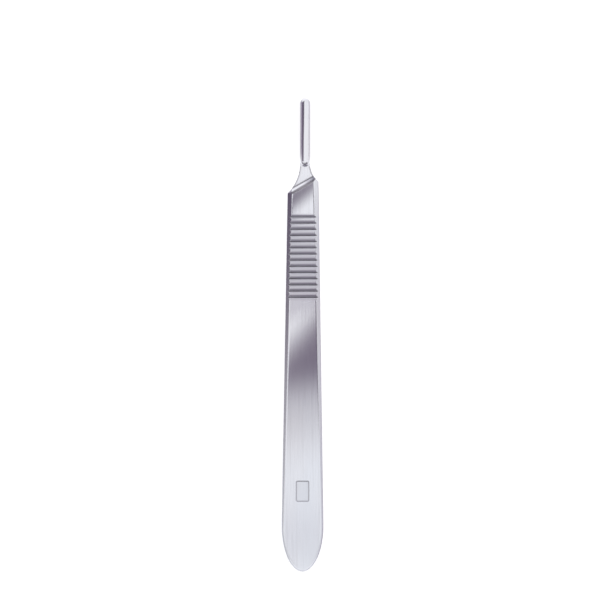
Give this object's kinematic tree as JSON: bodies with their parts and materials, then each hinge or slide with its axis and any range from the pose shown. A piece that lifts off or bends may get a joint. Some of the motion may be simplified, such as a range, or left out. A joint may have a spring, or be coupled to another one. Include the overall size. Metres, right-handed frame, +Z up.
{
  "type": "scalpel handle",
  "caption": "One-piece flat steel scalpel handle with a ribbed grip, a slanted shoulder and a narrow grooved fitting bar for a slotted surgical blade.",
  "frame": {"origin": "centre of the handle's box in X and Y, on the plane of the back face that it lies on", "axes": "+Y runs from the rounded butt to the tip of the fitting bar, +X is to the right seen from the front, and +Z points up out of the front face, on whose side the fitting bar has its head"},
  "size_m": [0.011, 0.125, 0.0035],
  "materials": {
    "steel": "satin polished stainless steel"
  },
  "bodies": {
    "root": {"handle": "steel"}
  },
  "joints": []
}
